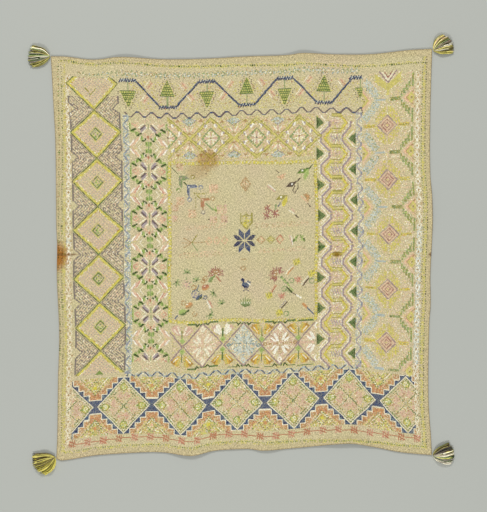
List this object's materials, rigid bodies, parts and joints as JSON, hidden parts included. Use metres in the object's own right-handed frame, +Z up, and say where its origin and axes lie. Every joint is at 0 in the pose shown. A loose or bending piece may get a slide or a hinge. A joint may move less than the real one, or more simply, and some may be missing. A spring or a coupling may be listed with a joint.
{
  "type": "embroidery sampler",
  "caption": "Square linen sampler worked all over in coloured thread, with a turned hem and a yarn tassel at each corner, lying flat.",
  "frame": {"origin": "on the underside, in the plane that the cloth lies on, beside the middle of its old cross fold", "axes": "+X towards the cloth's right, +Y towards its head, +Z up out of its worked face"},
  "size_m": [0.7706, 0.8011, 0.0146],
  "materials": {
    "linen": "worn even-weave linen, warm beige, with surface embroidery in faded thread",
    "tassel_yarn": "loose stranded yarn, straw yellow mixed with olive"
  },
  "bodies": {
    "root": {"ground_cloth": "linen", "tassel_head_left": "tassel_yarn", "tassel_head_right": "tassel_yarn", "tassel_foot_right": "tassel_yarn", "tassel_foot_left": "tassel_yarn"}
  },
  "joints": []
}
